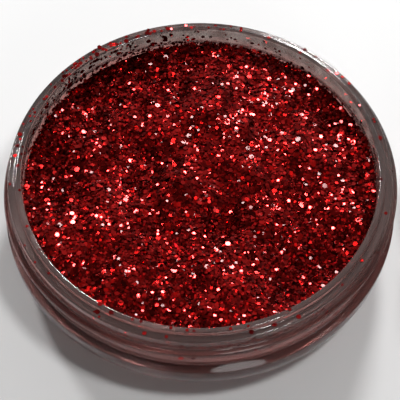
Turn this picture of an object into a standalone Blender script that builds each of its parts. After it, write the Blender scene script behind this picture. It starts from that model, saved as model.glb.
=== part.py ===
"""Round screw-top pot filled with loose glitter, open, with its lid lying upside down beside it.

Blender 4.5, metres, +Z up. The origin is the middle of the pot's underside, which stands on z = 0.
The lid lies to the +X side on its outer face. It turns over about LID_AXIS to come down above the neck.
"""

from math import cos, pi, radians, sin, tau

import bmesh
import bpy
from mathutils import Vector

# Pot
POT_HEIGHT = 0.0100
BODY_RADIUS = 0.0170
BODY_TOP = 0.0052
BASE_FILLET = 0.0050
NECK_RADIUS = 0.01645
MOUTH_RADIUS = 0.01525
CAVITY_FLOOR = 0.0020
CAVITY_FILLET = 0.0045
LIP_WIDTH = 0.00055
LIP_HEIGHT = 0.0004
EDGE = 0.00015

# Glitter
GAP = 0.0003
GLITTER_EDGE = 0.0085
GLITTER_CROWN = 0.0088

# Lid, measured as it sits on the pot, from its open edge upwards
LID_HEIGHT = 0.0066
LID_RADIUS = 0.0182
LID_BORE = 0.0172
LID_TOP = 0.0013
LID_EDGE = 0.0008
LINER_RADIUS = 0.0168
LINER_THICKNESS = 0.0008
RIB_COUNT = 48
RIB_RADIUS = 0.0004
RIB_PROUD = 0.00025
RIB_MARGIN = 0.0007

# Screw thread, the same pitch and length on the neck and in the lid
THREAD_PITCH = 0.0018
THREAD_TURNS = 1.25
THREAD_RADIUS = 0.00045
THREAD_ENGAGE = 0.00005
NECK_THREAD_LOW = 0.0066
LID_THREAD_LOW = 0.0010

# Where the lid lies, and how far above the neck it comes down
LID_DISTANCE = 0.0377
LID_CLEARANCE = 0.0005
LID_AXIS = Vector((LID_DISTANCE / 2, 0.0, (POT_HEIGHT + LID_CLEARANCE + LID_HEIGHT) / 2))

TURN_STEPS = 72
ARC_STEPS = 5
THREAD_STEPS = 36
MERGE = 0.000001
SHARP_ANGLE = radians(35)


def clear_scene():
    for item in list(bpy.data.objects):
        bpy.data.objects.remove(item)


def collection(name):
    made = bpy.data.collections.new(name)
    bpy.context.scene.collection.children.link(made)
    return made


def material(name, colour, roughness, metallic=0.0, transmission=0.0):
    made = bpy.data.materials.new(name)
    made.use_nodes = True
    shader = made.node_tree.nodes["Principled BSDF"]
    shader.inputs["Base Color"].default_value = (*colour, 1.0)
    shader.inputs["Roughness"].default_value = roughness
    shader.inputs["Metallic"].default_value = metallic
    shader.inputs["Transmission Weight"].default_value = transmission
    return made


def arc(centre, radius, start, end, steps=ARC_STEPS):
    """Points (r, z) on an arc about centre, from the angle start to the angle end."""
    angles = [start + (end - start) * i / steps for i in range(steps + 1)]
    return [(centre[0] + radius * cos(a), centre[1] + radius * sin(a)) for a in angles]


def turned(name, profile, finish, parts):
    """A solid of revolution about Z. The profile's outer side runs from top to bottom."""
    mesh = bpy.data.meshes.new(name)
    edges = [(i, i + 1) for i in range(len(profile) - 1)]
    mesh.from_pydata([(r, 0.0, z) for r, z in profile], edges, [])
    mesh.materials.append(finish)
    piece = bpy.data.objects.new(name, mesh)
    parts.objects.link(piece)
    screw = piece.modifiers.new("turn", "SCREW")
    screw.steps = TURN_STEPS
    screw.render_steps = TURN_STEPS
    screw.use_merge_vertices = True
    screw.merge_threshold = MERGE
    return piece


def evaluated_mesh(piece):
    graph = bpy.context.evaluated_depsgraph_get()
    return bpy.data.meshes.new_from_object(piece.evaluated_get(graph))


def helper(name, mesh, helpers):
    """An object that shapes another one and isn't a piece itself."""
    made = bpy.data.objects.new(name, mesh)
    helpers.objects.link(made)
    made.hide_render = True
    made.display_type = "WIRE"
    return made


def thread(name, radius, low, helpers):
    """A round ridge on a helix of this radius, thinner towards both ends."""
    curve = bpy.data.curves.new(name, "CURVE")
    curve.dimensions = "3D"
    curve.bevel_depth = THREAD_RADIUS
    curve.bevel_resolution = 2
    curve.use_fill_caps = True
    count = round(THREAD_TURNS * THREAD_STEPS)
    spline = curve.splines.new("POLY")
    spline.points.add(count)
    for i, point in enumerate(spline.points):
        angle = tau * i / THREAD_STEPS
        height = low + THREAD_PITCH * i / THREAD_STEPS
        point.co = (radius * cos(angle), radius * sin(angle), height, 1.0)
        from_end = min(i, count - i)
        point.radius = min(1.0, 0.6 + 0.1 * from_end)
    ridge = bpy.data.objects.new(name, curve)
    helpers.objects.link(ridge)
    mesh = evaluated_mesh(ridge)
    bpy.data.objects.remove(ridge)
    work = bmesh.new()
    work.from_mesh(mesh)
    bmesh.ops.remove_doubles(work, verts=work.verts, dist=MERGE)
    bmesh.ops.recalc_face_normals(work, faces=work.faces)
    work.to_mesh(mesh)
    work.free()
    return helper(name, mesh, helpers)


def grip_ribs(name, helpers):
    """Upright round ribs about the lid's skirt."""
    length = LID_HEIGHT - LID_EDGE - 2 * RIB_MARGIN
    reach = LID_RADIUS - RIB_RADIUS
    work = bmesh.new()
    for i in range(RIB_COUNT):
        angle = tau * i / RIB_COUNT
        rib = bmesh.ops.create_cone(
            work, cap_ends=True, segments=8, radius1=RIB_RADIUS, radius2=RIB_RADIUS, depth=length
        )
        centre = Vector((reach * cos(angle), reach * sin(angle), RIB_MARGIN + length / 2))
        bmesh.ops.translate(work, verts=rib["verts"], vec=centre)
    mesh = bpy.data.meshes.new(name)
    work.to_mesh(mesh)
    work.free()
    return helper(name, mesh, helpers)


def join(piece, added):
    union = piece.modifiers.new(added.name, "BOOLEAN")
    union.operation = "UNION"
    union.solver = "EXACT"
    union.object = added


def shade(piece):
    """Applies the modifiers, and shades the piece smooth between its corners."""
    mesh = evaluated_mesh(piece)
    mesh.name = piece.name
    piece.modifiers.clear()
    piece.data = mesh
    mesh.shade_smooth()
    mesh.set_sharp_from_angle(angle=SHARP_ANGLE)


def pot_body(parts, helpers):
    finish = material("smoky_plastic", (0.16, 0.15, 0.15), 0.15, transmission=0.6)
    lip_edge = MOUTH_RADIUS + LIP_WIDTH
    land = POT_HEIGHT - LIP_HEIGHT
    cavity = arc(
        (MOUTH_RADIUS - CAVITY_FILLET, CAVITY_FLOOR + CAVITY_FILLET), CAVITY_FILLET, -pi / 2, 0
    )
    rim = [
        (MOUTH_RADIUS, POT_HEIGHT - EDGE),
        (MOUTH_RADIUS + EDGE, POT_HEIGHT),
        (lip_edge - EDGE, POT_HEIGHT),
        (lip_edge, POT_HEIGHT - EDGE),
        (lip_edge, land),
        (NECK_RADIUS - EDGE, land),
        (NECK_RADIUS, land - EDGE),
    ]
    shoulder = [
        (NECK_RADIUS, BODY_TOP + BODY_RADIUS - NECK_RADIUS),
        (BODY_RADIUS, BODY_TOP),
    ]
    base = arc((BODY_RADIUS - BASE_FILLET, BASE_FILLET), BASE_FILLET, 0, -pi / 2)
    profile = [(0.0, CAVITY_FLOOR), *cavity, *rim, *shoulder, *base, (0.0, 0.0)]
    pot = turned("pot_body", profile, finish, parts)
    join(pot, thread("neck_thread", NECK_RADIUS + THREAD_ENGAGE, NECK_THREAD_LOW, helpers))
    return pot


def glitter_fill(parts):
    """The heap of loose glitter as one solid, clear of the cavity by GAP all round."""
    finish = material("red_glitter", (0.32, 0.004, 0.008), 0.35, metallic=0.8)
    fillet = CAVITY_FILLET - GAP
    floor = CAVITY_FLOOR + GAP
    centre = (MOUTH_RADIUS - CAVITY_FILLET, CAVITY_FLOOR + CAVITY_FILLET)
    radius = MOUTH_RADIUS - GAP
    crown = [
        (radius * share, GLITTER_EDGE + (GLITTER_CROWN - GLITTER_EDGE) * (1 - share**4))
        for share in (0.0, 0.35, 0.6, 0.8, 1.0)
    ]
    profile = [*crown, *arc(centre, fillet, 0, -pi / 2), (0.0, floor)]
    return turned("glitter_fill", profile, finish, parts)


def lid_cap(parts, helpers):
    finish = material("smoky_lid_plastic", (0.16, 0.15, 0.15), 0.15, transmission=0.6)
    skin = LID_RADIUS - RIB_PROUD
    profile = [
        (0.0, LID_HEIGHT),
        *arc((skin - LID_EDGE, LID_HEIGHT - LID_EDGE), LID_EDGE, pi / 2, 0),
        (skin, EDGE),
        (skin - EDGE, 0.0),
        (LID_BORE + EDGE, 0.0),
        (LID_BORE, EDGE),
        (LID_BORE, LID_HEIGHT - LID_TOP),
        (0.0, LID_HEIGHT - LID_TOP),
    ]
    lid = turned("lid_cap", profile, finish, parts)
    join(lid, thread("lid_thread", LID_BORE - THREAD_ENGAGE, LID_THREAD_LOW, helpers))
    join(lid, grip_ribs("lid_ribs", helpers))
    return lid


def lid_liner(parts):
    """The soft sealing disc under the lid's top."""
    finish = material("white_foam", (0.82, 0.82, 0.80), 0.8)
    high = LID_HEIGHT - LID_TOP - GAP
    low = high - LINER_THICKNESS
    profile = [
        (0.0, high),
        (LINER_RADIUS - EDGE, high),
        (LINER_RADIUS, high - EDGE),
        (LINER_RADIUS, low + EDGE),
        (LINER_RADIUS - EDGE, low),
        (0.0, low),
    ]
    return turned("lid_liner", profile, finish, parts)


def lay_lid(pieces, parts):
    """Turns the lid over beside the pot, under an empty on the axis that carries it back."""
    axis = bpy.data.objects.new("lid_carry_axis", None)
    parts.objects.link(axis)
    axis.location = LID_AXIS
    for piece in pieces:
        piece.parent = axis
        piece.rotation_euler = (pi, 0.0, 0.0)
        piece.location = Vector((LID_DISTANCE, 0.0, LID_HEIGHT)) - LID_AXIS


def build():
    clear_scene()
    parts = collection("glitter_pot")
    helpers = collection("helpers")
    lid_pieces = [lid_cap(parts, helpers), lid_liner(parts)]
    for piece in [pot_body(parts, helpers), glitter_fill(parts), *lid_pieces]:
        shade(piece)
    lay_lid(lid_pieces, parts)


build()
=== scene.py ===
"""The looks of an open pot of loose red glitter and its lid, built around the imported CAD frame.

All sizes are in metres. The pot stands on z = 0 about the Z axis, and the lid lies upside down beside it.
"""

from math import cos, pi, radians, sin, tan, tau

import bpy
import numpy as np
from mathutils import Matrix, Vector


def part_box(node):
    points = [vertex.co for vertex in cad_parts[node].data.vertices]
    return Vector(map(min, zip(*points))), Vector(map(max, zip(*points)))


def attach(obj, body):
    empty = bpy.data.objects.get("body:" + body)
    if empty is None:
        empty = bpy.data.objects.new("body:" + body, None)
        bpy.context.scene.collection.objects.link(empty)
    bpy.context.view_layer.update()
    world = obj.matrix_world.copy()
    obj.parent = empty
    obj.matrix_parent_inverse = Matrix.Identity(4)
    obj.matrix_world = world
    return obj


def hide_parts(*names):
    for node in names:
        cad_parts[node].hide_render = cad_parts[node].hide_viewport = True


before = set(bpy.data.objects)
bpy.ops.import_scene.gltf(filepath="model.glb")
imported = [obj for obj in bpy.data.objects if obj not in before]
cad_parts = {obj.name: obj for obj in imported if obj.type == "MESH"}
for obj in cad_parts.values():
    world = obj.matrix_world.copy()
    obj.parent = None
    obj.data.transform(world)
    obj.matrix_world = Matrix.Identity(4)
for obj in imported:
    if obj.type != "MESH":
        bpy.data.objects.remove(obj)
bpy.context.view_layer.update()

# Sizes read from the frame
POT_LOW, POT_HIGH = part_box("pot_body")
HEAP_LOW, HEAP_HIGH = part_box("glitter_fill")
LID_LOW, LID_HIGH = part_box("lid_cap")
LINER_LOW, LINER_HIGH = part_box("lid_liner")
POT_RADIUS = (POT_HIGH.y - POT_LOW.y) / 2
POT_HEIGHT = POT_HIGH.z
HEAP_RADIUS = (HEAP_HIGH.y - HEAP_LOW.y) / 2
LID_RADIUS = (LID_HIGH.y - LID_LOW.y) / 2
LID_HEIGHT = LID_HIGH.z
LID_X = (LID_LOW.x + LID_HIGH.x) / 2
LINER_RADIUS = (LINER_HIGH.y - LINER_LOW.y) / 2

# The pot's walls, as in the CAD, with GAP between them and the glitter, and small edges rounded by EDGE
GAP = 0.0003
MOUTH_RADIUS = HEAP_RADIUS + GAP
CAVITY_FLOOR = HEAP_LOW.z - GAP
CAVITY_FILLET = 0.0045
NECK_WALL = 0.0012
NECK_RADIUS = MOUTH_RADIUS + NECK_WALL
BASE_FILLET = 0.0050
BODY_TOP = 0.0052
LIP_WIDTH = 0.00055
LIP_HEIGHT = 0.0004
EDGE = 0.00015
# The round mark that the mould's gate leaves in the middle of the base
GATE_RADIUS = 0.0012
GATE_DEPTH = 0.0001

# The lid's walls, from its open edge upwards, as in the CAD
LID_PLAY = 0.0002
LID_BORE = POT_RADIUS + LID_PLAY
LID_TOP = 0.0013
LID_EDGE = 0.0008
RIB_COUNT = 48
RIB_RADIUS = 0.0004
RIB_PROUD = 0.00025
RIB_MARGIN = 0.0007
# A rib's points to each side of its crest: three on the rib, one at its foot, and two on the skirt beside it
RIB_POINTS = (0.00014, 0.00026, 0.00034, 0.000375, 0.00063, 0.00090)
# The ring that the pot's lip has pressed into the liner
PRESSED_WIDTH = 1.3 * LIP_WIDTH
PRESSED_DEPTH = 0.00012

# The thread on the neck and in the lid, as in the CAD. It runs out over THREAD_LEAD_IN turns at each end.
THREAD_PITCH = 0.0018
THREAD_TURNS = 1.25
THREAD_PROUD = 0.0005
THREAD_HALF_WIDTH = 0.00047
THREAD_ROUNDNESS = 0.75
THREAD_LEAD_IN = 0.06
NECK_THREAD_LOW = 0.0066
LID_THREAD_LOW = 0.0010

# The heap without its mounds: how far its edge lies below the top of the CAD's, and how far its crown rises
HEAP_DROP = 0.0005
HEAP_EDGE = HEAP_HIGH.z - HEAP_DROP
HEAP_CROWN = 0.0003
CROWN_POWER = 4
# Mounds and hollows in the heap: x, y, spread and rise
DUNES = (
    (0.0016, 0.0060, 0.0038, 0.00095),
    (-0.0074, 0.0128, 0.0034, -0.00090),
    (0.0125, 0.0090, 0.0024, -0.00050),
    (-0.0142, 0.0010, 0.0028, -0.00060),
    (0.0016, -0.0044, 0.0012, -0.00065),
    (-0.0006, -0.0010, 0.0022, 0.00045),
    (-0.0044, 0.0026, 0.0020, -0.00050),
    (-0.0092, -0.0066, 0.0024, 0.00080),
    (0.0080, -0.0088, 0.0026, -0.00055),
    (0.0104, 0.0010, 0.0030, 0.00050),
    (0.0030, -0.0124, 0.0030, 0.00080),
)
# Fine unevenness: waves of three lengths and heights, how many there are of each, and how the lengths vary
WAVES = ((0.0060, 0.00018), (0.0031, 0.00011), (0.0016, 0.00007))
WAVES_OF_EACH = 4
WAVE_STRETCH = (0.8, 1.3)
WAVE_SEED = 4

# Flakes: hexagonal plates, whose width across their corners is FLAKE_SIZE times one of FLAKE_MIX
FLAKE_SIZE = 0.00029
FLAKE_MIX = (1.0, 1.0, 1.0, 1.0, 1.0, 0.8, 0.8, 0.6, 1.3, 1.6)
FLAKE_VARIATION = (0.92, 1.08)
FLAKE_THICKNESS = 0.00002
FLAKE_CORNERS = 6
# A plate faces up or down, and not sideways, where its normal rises by more than this
FACES_UP = 0.9
# Shares of deep, middle and bright red flakes, in the open and against a wall. Against a wall most are
# bright:
# painted brightness that stands in for the light that hardly reaches them through the plastic.
OPEN_SHARES = (0.41, 0.33, 0.26)
PAINTED_BRIGHT_WALL_SHARES = (0.10, 0.30, 0.60)
# How far the mass of glitter lies below its outer flakes
BED_SINK = 0.6 * FLAKE_SIZE

# The heap's outer flakes. How far they keep from the wall, and lie below or above the surface, is in flakes.
TOP_FLAKES = 28500
TOP_PARTS = 3
TOP_SEED = 100
TOP_MARGIN = 0.55
TOP_DEPTH = (-0.55, 0.25)
# How far they tilt, in degrees, where the heap is brushed flat and where it is loose. It is partly loose at
# its crown's height, less so on the mounds, and more so in the hollows, by 1 for each LOOSE_DEPTH.
FLAKE_TILT = (8, 22)
LOOSE_AT_CROWN = 0.35
LOOSE_DEPTH = 0.0011

# The flakes against the wall, how far behind it they lie, in flakes, and how much of its round foot they line
SIDE_FLAKES = 9500
SIDE_SEED = 200
SIDE_SIZE = 0.9 * FLAKE_SIZE
SIDE_INSET = (0.12, 0.5)
SIDE_TILT = 20
FOOT_SHARE = 0.75

# Flakes that cling to the wall above the glitter, to the rim and to the neck. On the wall and the rim most of
# them are about the angle where the glitter was poured in. Those on the wall are densest low down.
WALL_STRAYS = 260
RIM_STRAYS = 130
NECK_STRAYS = 40
STRAY_SEED = 300
STRAY_TILT = 5
POURED_SHARE = 0.6
POURED_ANGLE = radians(128)
POURED_SPREAD = 0.45
WALL_REACH = 0.9
WALL_POWER = 1.3
LIP_SHARE = 0.5
NECK_STRAY_LOW = BODY_TOP + 0.0009
LID_STRAYS = 30
LID_STRAY_SEED = 400

# Steps around and along the turned meshes
TURN_STEPS = 288
EVEN_TURN = tau * np.arange(TURN_STEPS) / TURN_STEPS
THREAD_STEP = 0.00009
BORE_STEP = 0.00011
SKIRT_STEP = 0.00018
HEAP_STEP = 0.0002
WALL_STEP = 0.0004
LINER_STEP = 0.0006
FLAT_STEP = 0.001


# ---------------------------------------------------------------- shapes


def arc(centre, radius, start, end, steps):
    """Points (r, z) on an arc about centre, from the angle start to the angle end."""
    angles = np.linspace(start, end, steps + 1)
    return [(centre[0] + radius * cos(a), centre[1] + radius * sin(a)) for a in angles]


def line(start, end, step):
    """Evenly spaced points (r, z) from start to end, without the end."""
    count = max(1, round(float(np.hypot(end[0] - start[0], end[1] - start[1])) / step))
    return [tuple(np.array(start) + (np.array(end) - start) * i / count) for i in range(count)]


def turned(name, profile, warp=None, angle=EVEN_TURN):
    """A closed solid turned about Z. The profile runs from the axis, down the outer side, to the axis.

    warp(r, angle, z) returns the changed r and z of all points between the two poles. Each pole is as high
    as the ring next to it.
    """
    r, z = np.array(profile, float).T
    steps = len(angle)
    ring_r, ring_angle = np.meshgrid(r[1:-1], angle, indexing="ij")
    ring_z = np.repeat(z[1:-1, None], steps, axis=1)
    if warp:
        ring_r, ring_z = warp(ring_r, ring_angle, ring_z)
    rings = np.stack([ring_r * np.cos(ring_angle), ring_r * np.sin(ring_angle), ring_z], axis=-1)
    poles = [(0, 0, ring_z[0].mean()), (0, 0, ring_z[-1].mean())]
    points = np.vstack([rings.reshape(-1, 3), poles])
    here = np.arange(steps)
    after = (here + 1) % steps
    faces = []
    for k in range(len(r) - 3):
        a, b = k * steps, (k + 1) * steps
        faces += np.stack([a + here, b + here, b + after, a + after], axis=1).tolist()
    first, last = len(points) - 2, len(points) - 1
    last_ring = (len(r) - 3) * steps
    faces += [[first, i, j] for i, j in zip(here.tolist(), after.tolist())]
    faces += [[last_ring + i, last, last_ring + j] for i, j in zip(here.tolist(), after.tolist())]
    mesh = bpy.data.meshes.new(name)
    mesh.from_pydata(points.tolist(), [], faces)
    mesh.shade_smooth()
    piece = bpy.data.objects.new(name, mesh)
    bpy.context.scene.collection.objects.link(piece)
    return piece


def on_wall(r, radius):
    """Which points lie on the upright wall of this radius."""
    return np.abs(r - radius) < EDGE / 10


def thread_relief(angle, z, low):
    """How far the thread stands proud of its wall at these angles and heights."""
    relief = np.zeros_like(z)
    for lap in range(int(THREAD_TURNS) + 1):
        turn = angle / tau + lap
        across = (z - low - THREAD_PITCH * turn) / THREAD_HALF_WIDTH
        end = np.clip(np.minimum(turn, THREAD_TURNS - turn) / THREAD_LEAD_IN, 0, 1)
        ridge = THREAD_PROUD * np.clip(1 - across**2, 0, 1) ** THREAD_ROUNDNESS * end * (2 - end)
        relief = np.maximum(relief, ridge)
    return relief


def turn_over(piece):
    """Lays a piece of the lid, made the right way up about Z, upside down in its place."""
    piece.data.transform(Matrix.Translation((LID_X, 0, LID_HEIGHT)) @ Matrix.Rotation(pi, 4, "X"))
    return piece


def pot():
    """The pot, from the middle of its cavity's floor up over the lip, and down the neck to its base."""
    lip_edge = MOUTH_RADIUS + LIP_WIDTH
    land = POT_HEIGHT - LIP_HEIGHT
    cavity_centre = (MOUTH_RADIUS - CAVITY_FILLET, CAVITY_FLOOR + CAVITY_FILLET)
    shoulder = BODY_TOP + POT_RADIUS - NECK_RADIUS
    base_edge = POT_RADIUS - BASE_FILLET
    profile = [
        (0.0, CAVITY_FLOOR),
        *line((FLAT_STEP / 2, CAVITY_FLOOR), (cavity_centre[0], CAVITY_FLOOR), FLAT_STEP),
        *arc(cavity_centre, CAVITY_FILLET, -pi / 2, 0, 16),
        *line((MOUTH_RADIUS, cavity_centre[1] + EDGE), (MOUTH_RADIUS, POT_HEIGHT - EDGE), WALL_STEP),
        *arc((MOUTH_RADIUS + EDGE, POT_HEIGHT - EDGE), EDGE, pi, pi / 2, 5),
        *arc((lip_edge - EDGE, POT_HEIGHT - EDGE), EDGE, pi / 2, 0, 5),
        *arc((lip_edge + EDGE, land + EDGE), EDGE, pi, 1.5 * pi, 4),
        *arc((NECK_RADIUS - EDGE, land - EDGE), EDGE, pi / 2, 0, 5),
        *line((NECK_RADIUS, land - EDGE - THREAD_STEP), (NECK_RADIUS, shoulder + EDGE), THREAD_STEP),
        *arc((NECK_RADIUS + EDGE, shoulder + EDGE), EDGE, pi, 1.25 * pi, 3),
        *arc((POT_RADIUS - EDGE, BODY_TOP), EDGE, pi / 3, 0, 4),
        *arc((base_edge, BASE_FILLET), BASE_FILLET, 0, -pi / 2, 24),
        *line((base_edge - EDGE, 0.0), (GATE_RADIUS + 2 * GATE_DEPTH, 0.0), FLAT_STEP),
        *arc((GATE_RADIUS, 0.0), GATE_DEPTH, 0, pi / 2, 3),
        (0.0, GATE_DEPTH),
    ]

    def with_thread(r, angle, z):
        neck = on_wall(r, NECK_RADIUS) & (z > shoulder)
        return r + np.where(neck, thread_relief(angle, z, NECK_THREAD_LOW), 0), z

    return turned("pot_shell", profile, with_thread)


def rib_angles(skin):
    """Angles about the lid, close together where the ribs curve and further apart between them."""
    half = np.array(RIB_POINTS)
    along = np.concatenate([-half[::-1], [0.0], half])
    return (tau * np.arange(RIB_COUNT)[:, None] / RIB_COUNT + along / skin).ravel()


def rib_relief(angle, z, skin):
    """How far the round ribs stand proud of the lid's skirt. Their ends slope off over half of RIB_MARGIN."""
    pitch = tau / RIB_COUNT
    along = ((angle + pitch / 2) % pitch - pitch / 2) * skin
    rib = np.sqrt(np.clip(RIB_RADIUS**2 - along**2, 0, None)) - RIB_RADIUS + RIB_PROUD
    from_end = np.minimum(z - RIB_MARGIN, LID_HEIGHT - LID_EDGE - RIB_MARGIN - z)
    return np.clip(rib, 0, None) * np.clip(2 * from_end / RIB_MARGIN + 0.5, 0, 1)


def lid():
    """The lid, from the middle of its top down the ribbed skirt, and up the threaded bore."""
    skin = LID_RADIUS - RIB_PROUD
    inner_top = LID_HEIGHT - LID_TOP
    profile = [
        (0.0, LID_HEIGHT),
        *line((FLAT_STEP, LID_HEIGHT), (skin - LID_EDGE, LID_HEIGHT), FLAT_STEP),
        *arc((skin - LID_EDGE, LID_HEIGHT - LID_EDGE), LID_EDGE, pi / 2, 0, 10),
        *line((skin, LID_HEIGHT - LID_EDGE - THREAD_STEP), (skin, EDGE), SKIRT_STEP),
        *arc((skin - EDGE, EDGE), EDGE, 0, -pi / 2, 5),
        *arc((LID_BORE + EDGE, EDGE), EDGE, 1.5 * pi, pi, 5),
        *line((LID_BORE, EDGE + THREAD_STEP), (LID_BORE, inner_top - EDGE), BORE_STEP),
        *arc((LID_BORE - EDGE, inner_top - EDGE), EDGE, 0, pi / 2, 4),
        *line((LID_BORE - 2 * EDGE, inner_top), (FLAT_STEP, inner_top), FLAT_STEP),
        (0.0, inner_top),
    ]

    def with_ribs_and_thread(r, angle, z):
        inside = on_wall(r, LID_BORE) & (z < inner_top - EDGE)
        outside = on_wall(r, skin) & (z > EDGE) & (z < LID_HEIGHT - LID_EDGE)
        ribs = np.where(outside, rib_relief(angle, z, skin), 0)
        thread = np.where(inside, thread_relief(angle, z, LID_THREAD_LOW), 0)
        return r + ribs - thread, z

    return turn_over(turned("lid_shell", profile, with_ribs_and_thread, rib_angles(skin)))


def liner():
    """The liner, with the ring that the pot's lip has pressed into its face."""
    high = LID_HEIGHT - LINER_LOW.z
    low = LID_HEIGHT - LINER_HIGH.z
    pressed = MOUTH_RADIUS + LIP_WIDTH / 2
    half = PRESSED_WIDTH / 2
    profile = [
        (0.0, high),
        *line((FLAT_STEP / 2, high), (LINER_RADIUS - EDGE, high), LINER_STEP),
        *arc((LINER_RADIUS - EDGE, high - EDGE), EDGE, pi / 2, 0, 4),
        *arc((LINER_RADIUS - EDGE, low + EDGE), EDGE, 0, -pi / 2, 4),
        *line((LINER_RADIUS - 2 * EDGE, low), (pressed + half, low), LINER_STEP / 2),
        *[(pressed + half * cos(a), low + PRESSED_DEPTH * sin(a)) for a in np.linspace(0, pi, 9)],
        *line((pressed - half - EDGE, low), (FLAT_STEP / 2, low), LINER_STEP),
        (0.0, low),
    ]
    return turn_over(turned("liner_disc", profile))


# ---------------------------------------------------------------- glitter


def undulation(x, y):
    """Fine unevenness of a heap that has been shaken."""
    rng = np.random.default_rng(WAVE_SEED)
    height = np.zeros_like(x)
    for length, size in WAVES:
        for _ in range(WAVES_OF_EACH):
            way, phase = rng.uniform(0, tau, 2)
            stretched = rng.uniform(*WAVE_STRETCH) * length
            height = height + size / 2 * np.sin(tau * (x * cos(way) + y * sin(way)) / stretched + phase)
    return height


def heap(x, y):
    """Height of the glitter's surface."""
    share = np.clip(np.hypot(x, y) / MOUTH_RADIUS, 0, 1)
    height = HEAP_EDGE + HEAP_CROWN * (1 - share**CROWN_POWER) + undulation(x, y)
    for at_x, at_y, spread, rise in DUNES:
        height = height + rise * np.exp(-((x - at_x) ** 2 + (y - at_y) ** 2) / (2 * spread**2))
    return height


def heap_normal(x, y):
    """The ways that the glitter's surface faces."""
    slope_x = (heap(x + HEAP_STEP, y) - heap(x - HEAP_STEP, y)) / (2 * HEAP_STEP)
    slope_y = (heap(x, y + HEAP_STEP) - heap(x, y - HEAP_STEP)) / (2 * HEAP_STEP)
    normal = np.stack([-slope_x, -slope_y, np.ones_like(x)], axis=1)
    return normal / np.linalg.norm(normal, axis=1, keepdims=True)


def flake_tilt(x, y):
    """Flakes lie flat on the mounds, and tumbled in the hollows."""
    depth = HEAP_EDGE + HEAP_CROWN - heap(x, y)
    loose = np.clip(LOOSE_AT_CROWN + depth / LOOSE_DEPTH, 0, 1)[:, None]
    return FLAKE_TILT[0] + (FLAKE_TILT[1] - FLAKE_TILT[0]) * loose


def bed():
    """The mass of glitter under its outer flakes."""
    fillet = CAVITY_FILLET - GAP / 2
    floor = CAVITY_FLOOR + GAP / 2
    radius = MOUTH_RADIUS - GAP / 2
    centre = (MOUTH_RADIUS - CAVITY_FILLET, CAVITY_FLOOR + CAVITY_FILLET)
    profile = [
        (0.0, HEAP_EDGE),
        *line((HEAP_STEP, HEAP_EDGE), (radius - EDGE, HEAP_EDGE), HEAP_STEP),
        *arc((radius - EDGE, HEAP_EDGE - EDGE), EDGE, pi / 2, 0, 3),
        *line((radius, HEAP_EDGE - 2 * EDGE), (radius, centre[1] + EDGE), WALL_STEP),
        *arc(centre, fillet, 0, -pi / 2, 12),
        *line((centre[0] - EDGE, floor), (FLAT_STEP, floor), FLAT_STEP),
        (0.0, floor),
    ]

    def heaped(r, angle, z):
        level = heap(r * np.cos(angle), r * np.sin(angle)) - BED_SINK
        return r, np.where(z > HEAP_EDGE - 1.5 * EDGE, level + z - HEAP_EDGE, z)

    return turned("glitter_bed", profile, heaped)


def flake_rings(normals, size, rng):
    """The corners of one hexagon for each normal, seen from its centre and spun at random."""
    count = len(normals)
    helper = np.where(np.abs(normals[:, 2:]) < FACES_UP, [[0, 0, 1.0]], [[1.0, 0, 0]])
    across = np.cross(helper, normals)
    across /= np.linalg.norm(across, axis=1, keepdims=True)
    along = np.cross(normals, across)
    spin = rng.uniform(0, tau, (count, 1)) + tau * np.arange(FLAKE_CORNERS) / FLAKE_CORNERS
    reach = size / 2 * rng.choice(FLAKE_MIX, (count, 1)) * rng.uniform(*FLAKE_VARIATION, (count, 1))
    ring = across[:, None] * np.cos(spin)[..., None] + along[:, None] * np.sin(spin)[..., None]
    return ring * reach[..., None]


def flake_faces():
    """The faces of one plate: its upper side, its lower side and its rim."""
    n = FLAKE_CORNERS
    upper = list(range(n))
    lower = list(range(2 * n - 1, n - 1, -1))
    rim = [[i, i + n, (i + 1) % n + n, (i + 1) % n] for i in range(n)]
    return [upper, lower, *rim]


def flakes(name, centres, normals, wall, rng, size=FLAKE_SIZE, shares=OPEN_SHARES, body="pot"):
    """Thin hexagonal plates at these centres, facing along these normals, as one mesh.

    wall holds the way to the nearest wall and the room up to it. Plates that would reach past it are moved
    back from it.
    """
    count = len(centres)
    normals = normals / np.linalg.norm(normals, axis=1, keepdims=True)
    ring = flake_rings(normals, size, rng)
    to_wall, room = wall
    past = (ring * to_wall[:, None]).sum(axis=2).max(axis=1) + FLAKE_THICKNESS - room
    centres = centres - to_wall * np.clip(past, 0, None)[:, None]
    lift = normals[:, None] * FLAKE_THICKNESS / 2
    points = np.concatenate([centres[:, None] + ring + lift, centres[:, None] + ring - lift], axis=1)
    faces = flake_faces()
    face_sizes = [len(face) for face in faces]
    loops = np.arange(count)[:, None] * 2 * FLAKE_CORNERS + np.array(sum(faces, []))
    starts = np.concatenate([[0], np.cumsum(np.tile(face_sizes, count))[:-1]])
    mesh = bpy.data.meshes.new(name)
    mesh.vertices.add(count * 2 * FLAKE_CORNERS)
    mesh.vertices.foreach_set("co", points.astype(np.float32).ravel())
    mesh.loops.add(loops.size)
    mesh.loops.foreach_set("vertex_index", loops.astype(np.int32).ravel())
    mesh.polygons.add(count * len(faces))
    mesh.polygons.foreach_set("loop_start", starts.astype(np.int32))
    for foil, _, _ in FOILS:
        mesh.materials.append(bpy.data.materials[foil])
    slots = rng.choice(len(FOILS), count, p=shares)
    mesh.polygons.foreach_set("material_index", np.repeat(slots, len(faces)).astype(np.int32))
    mesh.update(calc_edges=True)
    mesh.shade_flat()
    piece = bpy.data.objects.new(name, mesh)
    bpy.context.scene.collection.objects.link(piece)
    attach(piece, body)


def tilted(normals, spread, rng):
    """The normals, each turned by a random tilt of about this many degrees."""
    return normals + rng.normal(0, 1, normals.shape) * np.tan(np.radians(spread))


def outward(angle, turn=0.0):
    """Ways out from the Z axis at these angles, each turned down by an angle of its own."""
    down = np.zeros_like(angle) + turn
    return np.stack([np.cos(angle) * np.cos(down), np.sin(angle) * np.cos(down), -np.sin(down)], axis=1)


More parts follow.
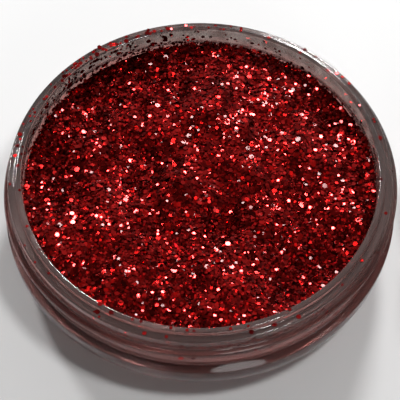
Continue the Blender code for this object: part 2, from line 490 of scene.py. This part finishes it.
def around(angle, r, z):
    """Points at these angles, radii and heights about the Z axis."""
    return np.stack([r * np.cos(angle), r * np.sin(angle), z], axis=1)


def top_flakes(part, count):
    """Flakes of the heap's surface, from just under it to lying on it."""
    rng = np.random.default_rng(TOP_SEED + part)
    r = (MOUTH_RADIUS - FLAKE_SIZE * TOP_MARGIN) * np.sqrt(rng.random(count))
    angle = rng.uniform(0, tau, count)
    x, y = r * np.cos(angle), r * np.sin(angle)
    depth = rng.uniform(*TOP_DEPTH, count) * FLAKE_SIZE
    normals = tilted(heap_normal(x, y), flake_tilt(x, y), rng)
    wall = (outward(angle), MOUTH_RADIUS - r)
    flakes(f"glitter_top_{part}", around(angle, r, heap(x, y) + depth), normals, wall, rng)


def side_flakes(count):
    """Flakes that lie against the cavity's wall and its rounded foot, seen through the plastic."""
    rng = np.random.default_rng(SIDE_SEED)
    foot_top = CAVITY_FLOOR + CAVITY_FILLET
    wall = HEAP_EDGE - foot_top
    foot = CAVITY_FILLET * pi / 2 * FOOT_SHARE
    down = rng.uniform(0, wall + foot, count)
    turn = np.clip(down - wall, 0, None) / CAVITY_FILLET
    inset = FLAKE_SIZE * rng.uniform(*SIDE_INSET, count)
    r = MOUTH_RADIUS - CAVITY_FILLET + (CAVITY_FILLET - inset) * np.cos(turn)
    z = foot_top + np.clip(wall - down, 0, None) - (CAVITY_FILLET - inset) * np.sin(turn)
    angle = rng.uniform(0, tau, count)
    to_wall = outward(angle, turn)
    normals = tilted(to_wall, SIDE_TILT, rng)
    centres = around(angle, r, z)
    # Mostly bright foil: painted brightness for flakes that little light reaches behind the wall
    flakes("glitter_side", centres, normals, (to_wall, inset), rng, SIDE_SIZE, PAINTED_BRIGHT_WALL_SHARES)


def stray_angles(count, rng):
    """Angles about the pot, most of them at the far left, where the glitter was poured over the rim."""
    poured = rng.random(count) < POURED_SHARE
    return np.where(poured, rng.normal(POURED_ANGLE, POURED_SPREAD, count), rng.uniform(0, tau, count))


def wall_strays(count, rng):
    """Centres and normals of the flakes on the cavity's wall above the glitter."""
    angle = stray_angles(count, rng)
    z = HEAP_EDGE + (POT_HEIGHT - HEAP_EDGE) * WALL_REACH * rng.random(count) ** WALL_POWER
    r = np.full(count, MOUTH_RADIUS - FLAKE_THICKNESS)
    return around(angle, r, z), -outward(angle)


def rim_strays(count, rng):
    """Centres and normals of the flakes on the lip, and on the lower land beside it."""
    lip_edge = MOUTH_RADIUS + LIP_WIDTH
    margin = FLAKE_SIZE / 2
    angle = stray_angles(count, rng)
    on_lip = rng.random(count) < LIP_SHARE
    r = np.where(
        on_lip,
        rng.uniform(MOUTH_RADIUS + margin, lip_edge - margin, count),
        rng.uniform(lip_edge + margin, NECK_RADIUS - margin, count),
    )
    z = np.where(on_lip, POT_HEIGHT, POT_HEIGHT - LIP_HEIGHT) + FLAKE_THICKNESS
    return around(angle, r, z), np.tile([[0.0, 0.0, 1.0]], (count, 1))


def neck_strays(count, rng):
    """Centres and normals of the flakes on the threaded neck."""
    angle = rng.uniform(0, tau, count)
    z = rng.uniform(NECK_STRAY_LOW, POT_HEIGHT - LIP_HEIGHT - FLAKE_SIZE / 2, count)
    r = NECK_RADIUS + thread_relief(angle, z, NECK_THREAD_LOW) + FLAKE_THICKNESS
    return around(angle, r, z), outward(angle)


def stray_flakes():
    """Single flakes that cling to the bare wall above the glitter, to the rim and to the neck outside."""
    rng = np.random.default_rng(STRAY_SEED)
    groups = [wall_strays(WALL_STRAYS, rng), rim_strays(RIM_STRAYS, rng), neck_strays(NECK_STRAYS, rng)]
    centres = np.vstack([group[0] for group in groups])
    facing = np.vstack([group[1] for group in groups])
    wall = (-facing, FLAKE_THICKNESS)
    flakes("glitter_strays", centres, tilted(facing, STRAY_TILT, rng), wall, rng)


def lid_stray_flakes():
    """Single flakes that the lid's bore has picked up from the thread on the pot's neck."""
    rng = np.random.default_rng(LID_STRAY_SEED)
    angle = rng.uniform(0, tau, LID_STRAYS)
    z = rng.uniform(LINER_HIGH.z + FLAKE_SIZE, LID_HEIGHT - FLAKE_SIZE, LID_STRAYS)
    relief = thread_relief(-angle % tau, LID_HEIGHT - z, LID_THREAD_LOW)
    centres = around(angle, LID_BORE - relief - FLAKE_THICKNESS, z) + (LID_X, 0, 0)
    to_wall = outward(angle)
    normals = tilted(-to_wall, STRAY_TILT, rng)
    wall = (to_wall, FLAKE_THICKNESS)
    # Mostly bright foil: painted brightness for flakes that little light reaches behind the lid's wall
    flakes("lid_strays", centres, normals, wall, rng, shares=PAINTED_BRIGHT_WALL_SHARES, body="lid")


# ---------------------------------------------------------------- materials


# Metallised foils: name, colour and roughness, from deep to bright red, and their thin clear coat
FOILS = (
    ("flake_deep", (0.10, 0.0010, 0.0009), 0.42),
    ("flake_red", (0.19, 0.0020, 0.0018), 0.19),
    ("flake_bright", (0.48, 0.0095, 0.0085), 0.07),
)
FOIL_COAT = 0.20
FOIL_COAT_ROUGHNESS = 0.055
# The flakes below the outer ones: how many there are to a metre, their dark and bright red, the share of them
# that is plain dark red, and their roughness
BED_CELLS = 3600
BED_REDS = ((0.03, 0.0006, 0.001), (0.42, 0.006, 0.009))
BED_DARK_SHARE = 0.2
BED_ROUGHNESS = (0.22, 0.55)

# The smoky plastic's clouds, its roughness where it is clean and smudged, and how clear it is
SMOKE = ((0.34, 0.262, 0.242), (0.48, 0.392, 0.366))
PLASTIC_ROUGHNESS = (0.05, 0.13)
CLEAR = 0.90
OPACITY = 0.96
PLASTIC_IOR = 1.5
# Patches to a metre: clouds, smudges, ripples of the surface and clumps of dust
CLOUDS = 260
SMUDGES = 420
RIPPLES = 300
# Patches to a metre: clouds, smudges, ripples of the surface and clumps of the darker film
DARKER_FILM_CLUMPS = 800
# Painted red on the pot's wall, standing in for the glitter seen through it: how strong it is low down and
# high up, and where it starts and stops to fade, upwards
PAINTED_GLITTER_RED = (0.54, 0.155, 0.135)
PAINTED_GLITTER_RED_SHARE = (0.85, 0.25)
PAINTED_GLITTER_RED_HEIGHT = (0.0078, 0.0094)
# The darker, clumped film on the pot's rim and upper wall, and where it starts and is full: upwards, and from
# the front of the pot to its back
DARKER_FILM = ((0.13, 0.088, 0.078), (0.32, 0.26, 0.24))
DARKER_FILM_HEIGHT = (0.0072, 0.0086)
DARKER_FILM_BACK = (-0.0060, 0.0060)
# The scuffed crests of the lid's ribs: their colour, how much rougher they are, and the radii where the
# scuffing starts and is full
WORN = (0.85, 0.80, 0.78)
WORN_ROUGHER = 0.32
WORN_RADIUS = (LID_RADIUS - 0.7 * RIB_PROUD, LID_RADIUS - 0.1 * RIB_PROUD)

# The liner's foam: its mottled colour and roughness, and its mottles and cells to a metre
FOAM = ((0.58, 0.57, 0.54), (0.72, 0.71, 0.68))
FOAM_ROUGHNESS = (0.6, 0.85)
FOAM_MOTTLES = 900
FOAM_CELLS = 3200


def new_material(name, colour, roughness, metallic=0.0):
    made = bpy.data.materials.new(name)
    made.use_nodes = True
    shader = made.node_tree.nodes["Principled BSDF"]
    shader.inputs["Base Color"].default_value = (*colour, 1)
    shader.inputs["Roughness"].default_value = roughness
    shader.inputs["Metallic"].default_value = metallic
    return made, shader


def foil_material(name, colour, roughness):
    """Metallised film: a coloured mirror under a thin clear coat, whose gloss whitens the best glints."""
    _, shader = new_material(name, colour, roughness, metallic=1.0)
    shader.inputs["Coat Weight"].default_value = FOIL_COAT
    shader.inputs["Coat Roughness"].default_value = FOIL_COAT_ROUGHNESS


def add(tree, kind, **inputs):
    node = tree.nodes.new(kind)
    for name, value in inputs.items():
        node.inputs[name].default_value = value
    return node


def operation(tree, kind, name):
    node = tree.nodes.new(kind)
    node.operation = name
    return node


def ramp(tree, source, low, high, start=0.3, end=0.7):
    """A smooth change from low to high as source goes from start to end. Noise is mostly 0.3 to 0.7."""
    node = tree.nodes.new("ShaderNodeMapRange")
    node.interpolation_type = "SMOOTHSTEP"
    node.inputs["From Min"].default_value = start
    node.inputs["From Max"].default_value = end
    node.inputs["To Min"].default_value = low
    node.inputs["To Max"].default_value = high
    tree.links.new(source, node.inputs["Value"])
    return node.outputs["Result"]


def blend_colours(tree, factor, first, second):
    """A mix of two colours, each of which is three numbers or another node's output."""
    node = tree.nodes.new("ShaderNodeMix")
    node.data_type = "RGBA"
    tree.links.new(factor, node.inputs["Factor"])
    for name, colour in (("A", first), ("B", second)):
        if isinstance(colour, tuple):
            node.inputs[name].default_value = (*colour, 1)
        else:
            tree.links.new(colour, node.inputs[name])
    return node.outputs["Result"]


def place(tree):
    """The place on the object, in metres."""
    return tree.nodes.new("ShaderNodeTexCoord").outputs["Object"]


def place_along(tree, axis):
    """The place along one of the object's own axes, in metres."""
    split = tree.nodes.new("ShaderNodeSeparateXYZ")
    tree.links.new(place(tree), split.inputs["Vector"])
    return split.outputs[axis]


def noise_at(tree, scale, detail):
    texture = add(tree, "ShaderNodeTexNoise", Scale=scale, Detail=detail)
    tree.links.new(place(tree), texture.inputs["Vector"])
    return texture.outputs["Fac"]


def bump(tree, shader, height, distance, strength):
    node = add(tree, "ShaderNodeBump", Strength=strength, Distance=distance)
    tree.links.new(height, node.inputs["Height"])
    tree.links.new(node.outputs["Normal"], shader.inputs["Normal"])


def with_painted_glitter_red(tree, colour):
    """The colour with painted red where there is glitter behind the wall, standing in for the glitter seen
    through it.
    """
    share = ramp(tree, place_along(tree, "Z"), *PAINTED_GLITTER_RED_SHARE, *PAINTED_GLITTER_RED_HEIGHT)
    return blend_colours(tree, share, colour, PAINTED_GLITTER_RED)


def with_darker_film(tree, colour):
    """The colour under a darker, clumped film, which lies on the upper wall and rim and is full at the back.
    """
    darker_film = blend_colours(tree, ramp(tree, noise_at(tree, DARKER_FILM_CLUMPS, 4), 0.0, 1.0), *DARKER_FILM)
    share = operation(tree, "ShaderNodeMath", "MULTIPLY")
    tree.links.new(ramp(tree, place_along(tree, "Z"), 0.0, 1.0, *DARKER_FILM_HEIGHT), share.inputs[0])
    tree.links.new(ramp(tree, place_along(tree, "Y"), 0.0, 1.0, *DARKER_FILM_BACK), share.inputs[1])
    return blend_colours(tree, share.outputs["Value"], colour, darker_film)


def use_of_pot(tree, colour, roughness):
    # Painted red where glitter lies behind the wall, then the darker film towards the back
    return with_darker_film(tree, with_painted_glitter_red(tree, colour)), roughness


def use_of_lid(tree, colour, roughness):
    """Handling has scuffed the crests of the ribs, which are what lies furthest from the lid's axis."""
    from_axis = operation(tree, "ShaderNodeVectorMath", "MULTIPLY_ADD")
    from_axis.inputs[1].default_value = (1, 1, 0)
    from_axis.inputs[2].default_value = (-LID_X, 0, 0)
    radius = operation(tree, "ShaderNodeVectorMath", "LENGTH")
    tree.links.new(place(tree), from_axis.inputs[0])
    tree.links.new(from_axis.outputs["Vector"], radius.inputs[0])
    worn = ramp(tree, radius.outputs["Value"], 0.0, 1.0, *WORN_RADIUS)
    rougher = operation(tree, "ShaderNodeMath", "MULTIPLY_ADD")
    rougher.inputs[1].default_value = WORN_ROUGHER
    tree.links.new(worn, rougher.inputs[0])
    tree.links.new(roughness, rougher.inputs[2])
    return blend_colours(tree, worn, colour, WORN), rougher.outputs["Value"]


def plastic(name, use):
    """Smoky clear moulded plastic, faintly clouded and smudged, with the marks of its use."""
    made, shader = new_material(name, SMOKE[0], PLASTIC_ROUGHNESS[0])
    tree = made.node_tree
    clouded = blend_colours(tree, noise_at(tree, CLOUDS, 4), *SMOKE)
    smudged = ramp(tree, noise_at(tree, SMUDGES, 3), *PLASTIC_ROUGHNESS)
    colour, roughness = use(tree, clouded, smudged)
    tree.links.new(colour, shader.inputs["Base Color"])
    tree.links.new(roughness, shader.inputs["Roughness"])
    shader.inputs["Transmission Weight"].default_value = CLEAR
    shader.inputs["Alpha"].default_value = OPACITY
    shader.inputs["IOR"].default_value = PLASTIC_IOR
    bump(tree, shader, noise_at(tree, RIPPLES, 1), distance=0.00002, strength=0.1)
    return made


def bed_material():
    """The flakes below the outer ones, as cells of dark red foil at all tilts."""
    made, shader = new_material("deep_glitter", BED_REDS[0], BED_ROUGHNESS[0], metallic=1.0)
    tree = made.node_tree
    cells = add(tree, "ShaderNodeTexVoronoi", Scale=BED_CELLS)
    tree.links.new(place(tree), cells.inputs["Vector"])
    split = tree.nodes.new("ShaderNodeSeparateColor")
    tree.links.new(cells.outputs["Color"], split.inputs["Color"])
    shade = ramp(tree, split.outputs["Red"], 0.0, 1.0, BED_DARK_SHARE, 1.0)
    tree.links.new(blend_colours(tree, shade, *BED_REDS), shader.inputs["Base Color"])
    dull = ramp(tree, split.outputs["Green"], *BED_ROUGHNESS, 0.0, 1.0)
    tree.links.new(dull, shader.inputs["Roughness"])
    bump(tree, shader, split.outputs["Blue"], distance=0.00012, strength=0.8)
    return made


def foam_material():
    """White closed-cell foam with a fine, faintly mottled skin."""
    made, shader = new_material("liner_foam", FOAM[0], FOAM_ROUGHNESS[0])
    tree = made.node_tree
    mottle = noise_at(tree, FOAM_MOTTLES, 4)
    tree.links.new(blend_colours(tree, mottle, *FOAM), shader.inputs["Base Color"])
    tree.links.new(ramp(tree, mottle, *FOAM_ROUGHNESS), shader.inputs["Roughness"])
    bump(tree, shader, noise_at(tree, FOAM_CELLS, 3), distance=0.00005, strength=0.5)
    return made


def paint(piece, material):
    piece.data.materials.append(material)
    return piece


# ---------------------------------------------------------------- camera and light


CAMERA_ELEVATION = radians(57)
CAMERA_DISTANCE = 0.150
VIEW_WIDTH = 0.0349
SENSOR_WIDTH = 36
# The camera and the lights face this point in the pot.
AIM = Vector((0.0, -0.0003, POT_HEIGHT / 2 + 0.0008))
# Lights: azimuth, elevation and half-angle in degrees, and radiance. Azimuth 0 is behind the pot as the
# camera sees it, and 90 is to its right. The first three make the glints.
LIGHTS = (
    ("key", 14, 36, 6.0, 71),
    ("second", -35, 45, 4.4, 72),
    ("third", 120, 70, 4.6, 67),
    ("front_fill", 162, 28, 11, 3.4),
)
LIGHT_DISTANCE = 0.5
# The floor is just clear of the pot. It starts to fade, and has faded away, at these distances from it.
FLOOR_DROP = 0.00002
FLOOR_GREY = 0.66
FLOOR_ROUGHNESS = 0.7
FLOOR_FADE = (0.20, 0.55)
FLOOR_SIZE = 2.4 * FLOOR_FADE[1]
# The studio's dim room: its colour, how bright its dark and bright side are, which way its bright side is,
# from where to where the change goes, and how bright the backdrop behind the floor looks
ROOM_COLOUR = (1.0, 0.99, 0.98)
AMBIENT = (0.09, 0.46)
BRIGHT_SIDE = (0.25, 0.90, 0.36)
BRIGHT_SPREAD = (0.35, 1.0)
BACKDROP = 0.86


def add_camera():
    data = bpy.data.cameras.new("camera")
    camera = bpy.data.objects.new("camera", data)
    bpy.context.scene.collection.objects.link(camera)
    back = Vector((0, -cos(CAMERA_ELEVATION), sin(CAMERA_ELEVATION)))
    camera.location = AIM + back * CAMERA_DISTANCE
    camera.rotation_euler = (-back).to_track_quat("-Z", "Y").to_euler()
    data.sensor_width = SENSOR_WIDTH
    data.lens = SENSOR_WIDTH * CAMERA_DISTANCE / VIEW_WIDTH
    data.clip_start = 0.01
    data.clip_end = 10
    bpy.context.scene.camera = camera


def add_light(name, azimuth, elevation, half_angle, radiance):
    """A round soft light that faces the pot, and spreads from its middle by half_angle as the pot sees it."""
    data = bpy.data.lights.new(name, "AREA")
    data.shape = "DISK"
    data.size = 2 * LIGHT_DISTANCE * tan(radians(half_angle))
    area = pi * (data.size / 2) ** 2
    data.energy = radiance * pi * area
    light = bpy.data.objects.new(name, data)
    bpy.context.scene.collection.objects.link(light)
    a, e = radians(azimuth), radians(elevation)
    out = Vector((sin(a) * cos(e), cos(a) * cos(e), sin(e)))
    light.location = AIM + out * LIGHT_DISTANCE
    light.rotation_euler = (-out).to_track_quat("-Z", "Y").to_euler()


def add_floor():
    """A pale floor that fades into the backdrop well away from the pot."""
    bpy.ops.mesh.primitive_plane_add(size=FLOOR_SIZE, location=(0, 0, -FLOOR_DROP))
    floor = bpy.context.object
    floor.name = "floor"
    made, shader = new_material("floor_paint", (FLOOR_GREY, FLOOR_GREY, FLOOR_GREY), FLOOR_ROUGHNESS)
    tree = made.node_tree
    distance = operation(tree, "ShaderNodeVectorMath", "LENGTH")
    tree.links.new(place(tree), distance.inputs[0])
    tree.links.new(ramp(tree, distance.outputs["Value"], 1.0, 0.0, *FLOOR_FADE), shader.inputs["Alpha"])
    paint(floor, made)


def add_world():
    """A dim room that is brighter low down behind the pot, with a plain pale backdrop behind the floor."""
    world = bpy.data.worlds.new("studio")
    bpy.context.scene.world = world
    world.use_nodes = True
    tree = world.node_tree
    way = tree.nodes.new("ShaderNodeTexCoord").outputs["Generated"]
    facing = operation(tree, "ShaderNodeVectorMath", "DOT_PRODUCT")
    facing.inputs[1].default_value = BRIGHT_SIDE
    tree.links.new(way, facing.inputs[0])
    room = ramp(tree, facing.outputs["Value"], *AMBIENT, *BRIGHT_SPREAD)
    path = tree.nodes.new("ShaderNodeLightPath")
    strength = tree.nodes.new("ShaderNodeMapRange")
    strength.inputs["To Max"].default_value = BACKDROP
    tree.links.new(path.outputs["Is Camera Ray"], strength.inputs["Value"])
    tree.links.new(room, strength.inputs["To Min"])
    back = tree.nodes["Background"]
    back.inputs["Color"].default_value = (*ROOM_COLOUR, 1)
    tree.links.new(strength.outputs["Result"], back.inputs["Strength"])


# ---------------------------------------------------------------- the scene


add_camera()
add_world()
add_floor()
for light in LIGHTS:
    add_light(*light)
bpy.context.scene.view_settings.view_transform = "Standard"

pot_plastic = plastic("pot_plastic", use_of_pot)
lid_plastic = plastic("lid_plastic", use_of_lid)
for foil in FOILS:
    foil_material(*foil)

pot_shell = paint(pot(), pot_plastic)
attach(pot_shell, "pot")
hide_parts("pot_body")

glitter_bed = paint(bed(), bed_material())
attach(glitter_bed, "pot")
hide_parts("glitter_fill")

for part in range(1, TOP_PARTS + 1):
    top_flakes(part, TOP_FLAKES // TOP_PARTS)
side_flakes(SIDE_FLAKES)
stray_flakes()

lid_shell = paint(lid(), lid_plastic)
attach(lid_shell, "lid")
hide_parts("lid_cap")

liner_disc = paint(liner(), foam_material())
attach(liner_disc, "lid")
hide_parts("lid_liner")
lid_stray_flakes()
